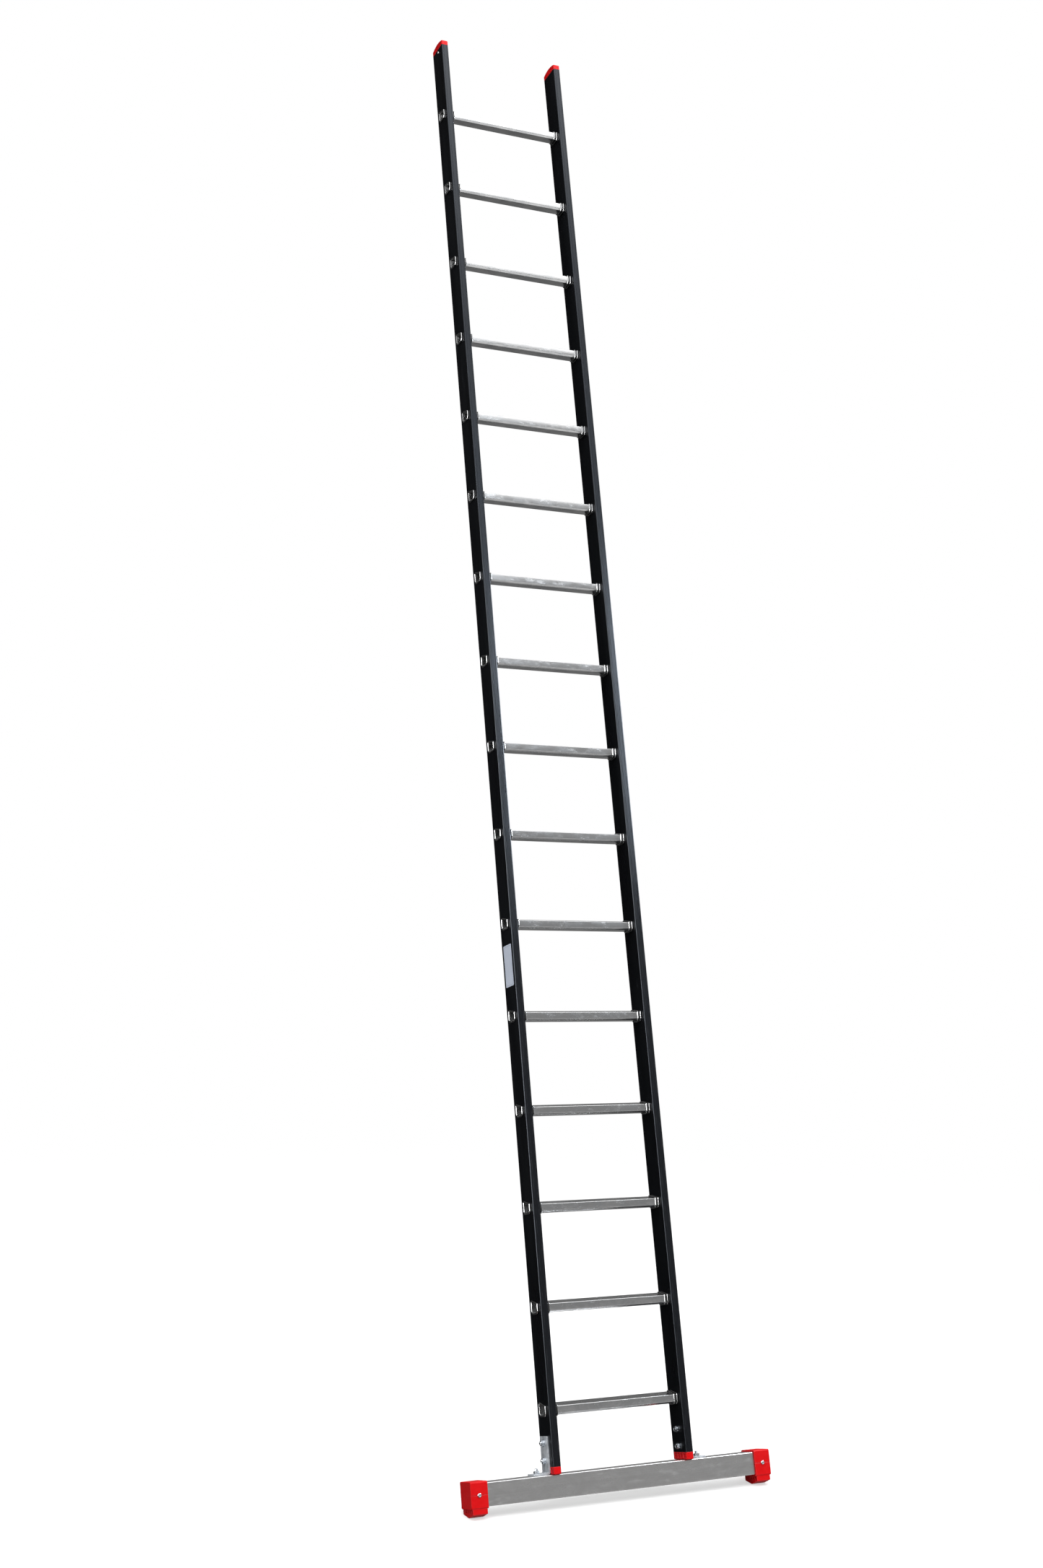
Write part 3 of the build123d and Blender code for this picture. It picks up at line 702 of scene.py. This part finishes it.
def build_hex_bolts():
    """Hex bolts through the stiles, each drawn along its axis from under the head."""
    builder = bmesh.new()
    for low, high in cluster_boxes("stile_bolts"):
        direction = Vector(sideways(low, high))
        centre = (low + high) / 2
        length = high.x - low.x
        start = centre - direction * length / 2
        profile = [
            plain(POINT_RADIUS, HEAD_DISH),
            plain(M8_FLATS / 2 * 0.55, HEAD_DISH),
            plain(M8_FLATS / 2 * 0.62, 0.0),
            plain(M8_FLATS / 2 * SEAT_SHARE, 0.0),
            hex_ring(M8_FLATS, 0.0, -1),
            hex_ring(M8_FLATS, M8_HEAD_HEIGHT, 1),
            plain(M8_FLATS / 2 * SEAT_SHARE, M8_HEAD_HEIGHT),
            plain(M8_RADIUS, M8_HEAD_HEIGHT),
            plain(M8_RADIUS, length - M8_THREAD_LENGTH),
        ]
        profile += thread_rings(M8_RADIUS, M8_PITCH, length - M8_THREAD_LENGTH, length - TIP_HEIGHT)
        profile += [plain(M8_RADIUS * TIP_SHARE, length), plain(POINT_RADIUS, length)]
        skin_rings(builder, placed_rings(facing(direction, start), profile), closed=False)
    add_piece("stile_bolts_threaded", builder, "stile_bolts", "zinc_plated_steel")


def build_bar_bolts():
    """Carriage bolts: a domed head inside the bar, a square neck, then thread."""
    neck_end = DOME_HEIGHT + NECK_HEIGHT

    def square(height):
        return lambda angle: (NECK_HALF / max(abs(cos(angle)), abs(sin(angle))), height)

    builder = bmesh.new()
    for low, high in cluster_boxes("bar_bolts"):
        start = Vector(((low.x + high.x) / 2, (low.y + high.y) / 2, low.z))
        length = high.z - low.z
        profile = [plain(POINT_RADIUS, 0.0)]
        for step in range(1, BEAD_STEPS + 1):
            angle = pi / 2 * step / BEAD_STEPS
            profile.append(plain(DOME_RADIUS * sin(angle), (DOME_HEIGHT - DOME_EDGE) * (1 - cos(angle))))
        profile += [
            plain(DOME_RADIUS, DOME_HEIGHT),
            square(DOME_HEIGHT),
            square(neck_end),
            plain(M8_RADIUS, neck_end),
        ]
        profile += thread_rings(M8_RADIUS, M8_PITCH, neck_end, length - TIP_HEIGHT)
        profile += [plain(M8_RADIUS * TIP_SHARE, length), plain(POINT_RADIUS, length)]
        skin_rings(builder, placed_rings(facing((0, 0, 1), start), profile), closed=False)
    add_piece("bar_bolts_threaded", builder, "bar_bolts", "zinc_plated_steel")


def build_end_cap_bolts():
    """Button-headed bolts with a hex socket, thread showing behind the nuts."""
    lip = SOCKET_FLATS / 2 * SOCKET_LIP

    def socket(height, share=1.0):
        return lambda angle: (hexagon(SOCKET_FLATS, angle) * share, height)

    builder = bmesh.new()
    for low, high in cluster_boxes("end_cap_bolts"):
        start = Vector(((low.x + high.x) / 2, low.y, (low.z + high.z) / 2))
        length = high.y - low.y
        profile = [
            plain(POINT_RADIUS, SOCKET_DEPTH),
            socket(SOCKET_DEPTH),
            socket(SOCKET_EDGE),
            socket(0.0, SOCKET_FLARE),
        ]
        for step in range(1, BEAD_STEPS + 1):
            angle = pi / 2 * step / BEAD_STEPS
            height = (M6_HEAD_HEIGHT - M6_HEAD_EDGE) * (1 - cos(angle))
            profile.append(plain(lip + (M6_HEAD_RADIUS - lip) * sin(angle), height))
        profile += [plain(M6_HEAD_RADIUS, M6_HEAD_HEIGHT), plain(M6_RADIUS, M6_HEAD_HEIGHT)]
        profile += [plain(M6_RADIUS, length - M6_THREAD_LENGTH)]
        profile += thread_rings(M6_RADIUS, M6_PITCH, length - M6_THREAD_LENGTH, length - TIP_HEIGHT)
        profile += [plain(M6_RADIUS * M6_TIP_SHARE, length), plain(POINT_RADIUS, length)]
        skin_rings(builder, placed_rings(facing((0, 1, 0), start), profile), closed=False)
    add_piece("end_cap_bolts_threaded", builder, "end_cap_bolts", "zinc_plated_steel")


# -------------------------------------------------------------- surroundings

def build_floor():
    """A pale floor that fades out with distance, so that no horizon shows."""
    builder = bmesh.new()
    bmesh.ops.create_circle(builder, cap_ends=True, segments=FLOOR_SEGMENTS, radius=FLOOR_RADIUS)
    mesh = bpy.data.meshes.new("studio_floor")
    builder.to_mesh(mesh)
    builder.free()
    f = Finish("studio_floor", Roughness=0.9, Specular_IOR_Level=0.1)
    f.feed("Base Color", f.blend(f.noise((0.4, 0.4, 0.4)), (0.90, 0.90, 0.90), (0.92, 0.92, 0.92)))
    distance = f.node("ShaderNodeVectorMath", operation="LENGTH")
    f.join(f.place, distance.inputs[0])
    f.feed("Alpha", f.remap(distance.outputs["Value"], *FLOOR_FADE, FLOOR_OPACITY, 0.0))
    mesh.materials.append(f.material)
    ground = bpy.data.objects.new("studio_floor", mesh)
    ground.visible_glossy = False
    bpy.context.scene.collection.objects.link(ground)


def softbox(name, place, target, size, power, colour=(1, 1, 1)):
    """A large soft light."""
    light = bpy.data.lights.new(name, "AREA")
    light.shape = "RECTANGLE"
    light.size, light.size_y = size
    light.energy = power
    light.color = colour
    lamp = bpy.data.objects.new(name, light)
    lamp.location = place
    lamp.rotation_euler = (Vector(target) - Vector(place)).to_track_quat("-Z", "Y").to_euler()
    bpy.context.scene.collection.objects.link(lamp)
    return lamp


def level_ramp(tree, value, levels):
    """A grey level read off a list of (value, level), for value from -1 to 1."""
    lift = tree.nodes.new("ShaderNodeMapRange")
    lift.inputs["From Min"].default_value = -1.0
    tree.links.new(value, lift.inputs["Value"])
    ramp = tree.nodes.new("ShaderNodeValToRGB")
    tree.links.new(lift.outputs["Result"], ramp.inputs["Fac"])
    elements = ramp.color_ramp.elements
    while len(elements) < len(levels):
        elements.new(0.5)
    for element, (at, level) in zip(elements, levels):
        element.position = (at + 1) / 2
        element.color = (level, level, level, 1)
    return ramp.outputs["Color"]


def between(tree, share, first, second):
    """A colour between two others."""
    mix = tree.nodes.new("ShaderNodeMix")
    mix.data_type = "RGBA"
    tree.links.new(share, mix.inputs["Factor"])
    colours = [socket for socket in mix.inputs if socket.type == "RGBA"]
    tree.links.new(first, colours[0])
    tree.links.new(second, colours[1])
    return next(socket for socket in mix.outputs if socket.type == "RGBA")


def build_world():
    """A white backdrop for the camera; a darker studio for light and reflections.

    In front of the ladder the studio is bright overhead and over the near floor. Behind it
    the studio is grey to the right and nearly black to the left.
    """
    world = bpy.data.worlds.new("studio")
    bpy.context.scene.world = world
    world.use_nodes = True
    tree = world.node_tree
    tree.nodes.clear()
    direction = tree.nodes.new("ShaderNodeTexCoord")
    parts = tree.nodes.new("ShaderNodeSeparateXYZ")
    tree.links.new(direction.outputs["Generated"], parts.inputs["Vector"])
    height, depth, side = parts.outputs["Z"], parts.outputs["Y"], parts.outputs["X"]
    front_right = level_ramp(tree, height, FRONT_RIGHT_LEVELS)
    front_left = level_ramp(tree, height, FRONT_LEFT_LEVELS)
    back_right = level_ramp(tree, height, BACK_RIGHT_LEVELS)
    back_left = level_ramp(tree, height, BACK_LEFT_LEVELS)
    to_right = level_ramp(tree, side, ((-0.25, 0.0), (0.15, 1.0)))
    to_back = level_ramp(tree, depth, ((-0.15, 0.0), (0.2, 1.0)))
    front = between(tree, to_right, front_left, front_right)
    back = between(tree, to_right, back_left, back_right)
    around = tree.nodes.new("ShaderNodeBackground")
    around.inputs["Strength"].default_value = STUDIO_STRENGTH
    tree.links.new(between(tree, to_back, front, back), around.inputs["Color"])
    backdrop = tree.nodes.new("ShaderNodeBackground")
    backdrop.inputs["Color"].default_value = (1, 1, 1, 1)
    seen = tree.nodes.new("ShaderNodeLightPath")
    mix = tree.nodes.new("ShaderNodeMixShader")
    tree.links.new(seen.outputs["Is Camera Ray"], mix.inputs["Fac"])
    tree.links.new(around.outputs["Background"], mix.inputs[1])
    tree.links.new(backdrop.outputs["Background"], mix.inputs[2])
    output = tree.nodes.new("ShaderNodeOutputWorld")
    tree.links.new(mix.outputs["Shader"], output.inputs["Surface"])


def build_lights():
    """Softboxes for matt surfaces, and three that only show as highlights on metal and coating."""
    for name, place, size, power in (
        ("fill_front_left", (-3.5, -4.0, 3.0), (3.0, 3.0), 35),
        ("fill_front_right", (3.0, -4.0, 3.0), (3.0, 3.0), 45),
        ("overhead", (0.0, -1.0, 6.5), (6.0, 6.0), 420),
        ("fill_back", (0.0, 5.0, 4.0), (4.0, 3.0), 60),
    ):
        softbox(name, place, (0, 0.5, 1.5), size, power).visible_glossy = False
    for name, place, size, power, colour in (
        ("side_left", (-4.5, 0.0, 2.3), (1.8, 4.0), 300, (1, 1, 1)),
        ("side_right", (3.03, -0.61, 3.32), (1.3, 1.3), 170, (0.85, 0.92, 1.0)),
        ("strip_right", (0.66, -2.2, 4.6), (0.9, 1.6), 13, (0.86, 0.93, 1.0)),
    ):
        softbox(name, place, (0, 0.5, 2.0), size, power, colour).visible_diffuse = False


def build_camera():
    """The camera at the photograph's viewing angle."""
    data = bpy.data.cameras.new("camera")
    data.sensor_width = SENSOR_WIDTH_MM
    data.lens = LENS_MM
    camera = bpy.data.objects.new("camera", data)
    bpy.context.scene.collection.objects.link(camera)
    turned = Matrix.Rotation(YAW, 4, "Z") @ Matrix.Rotation(pi / 2 + PITCH, 4, "X")
    camera.matrix_world = Matrix.Translation(EYE) @ turned @ Matrix.Rotation(ROLL, 4, "Z")
    bpy.context.scene.camera = camera


finish_cad_nodes()
build_rungs()
build_nuts("stile_nuts", sideways, M8_FLATS, M8_BORE)
build_nuts("bar_nuts", upwards, M8_FLATS, M8_BORE)
build_nuts("end_cap_nuts", backwards, M6_FLATS, M6_BORE)
build_hex_bolts()
build_bar_bolts()
build_end_cap_bolts()
build_floor()
build_world()
build_lights()
build_camera()
bpy.context.scene.view_settings.view_transform = "Standard"
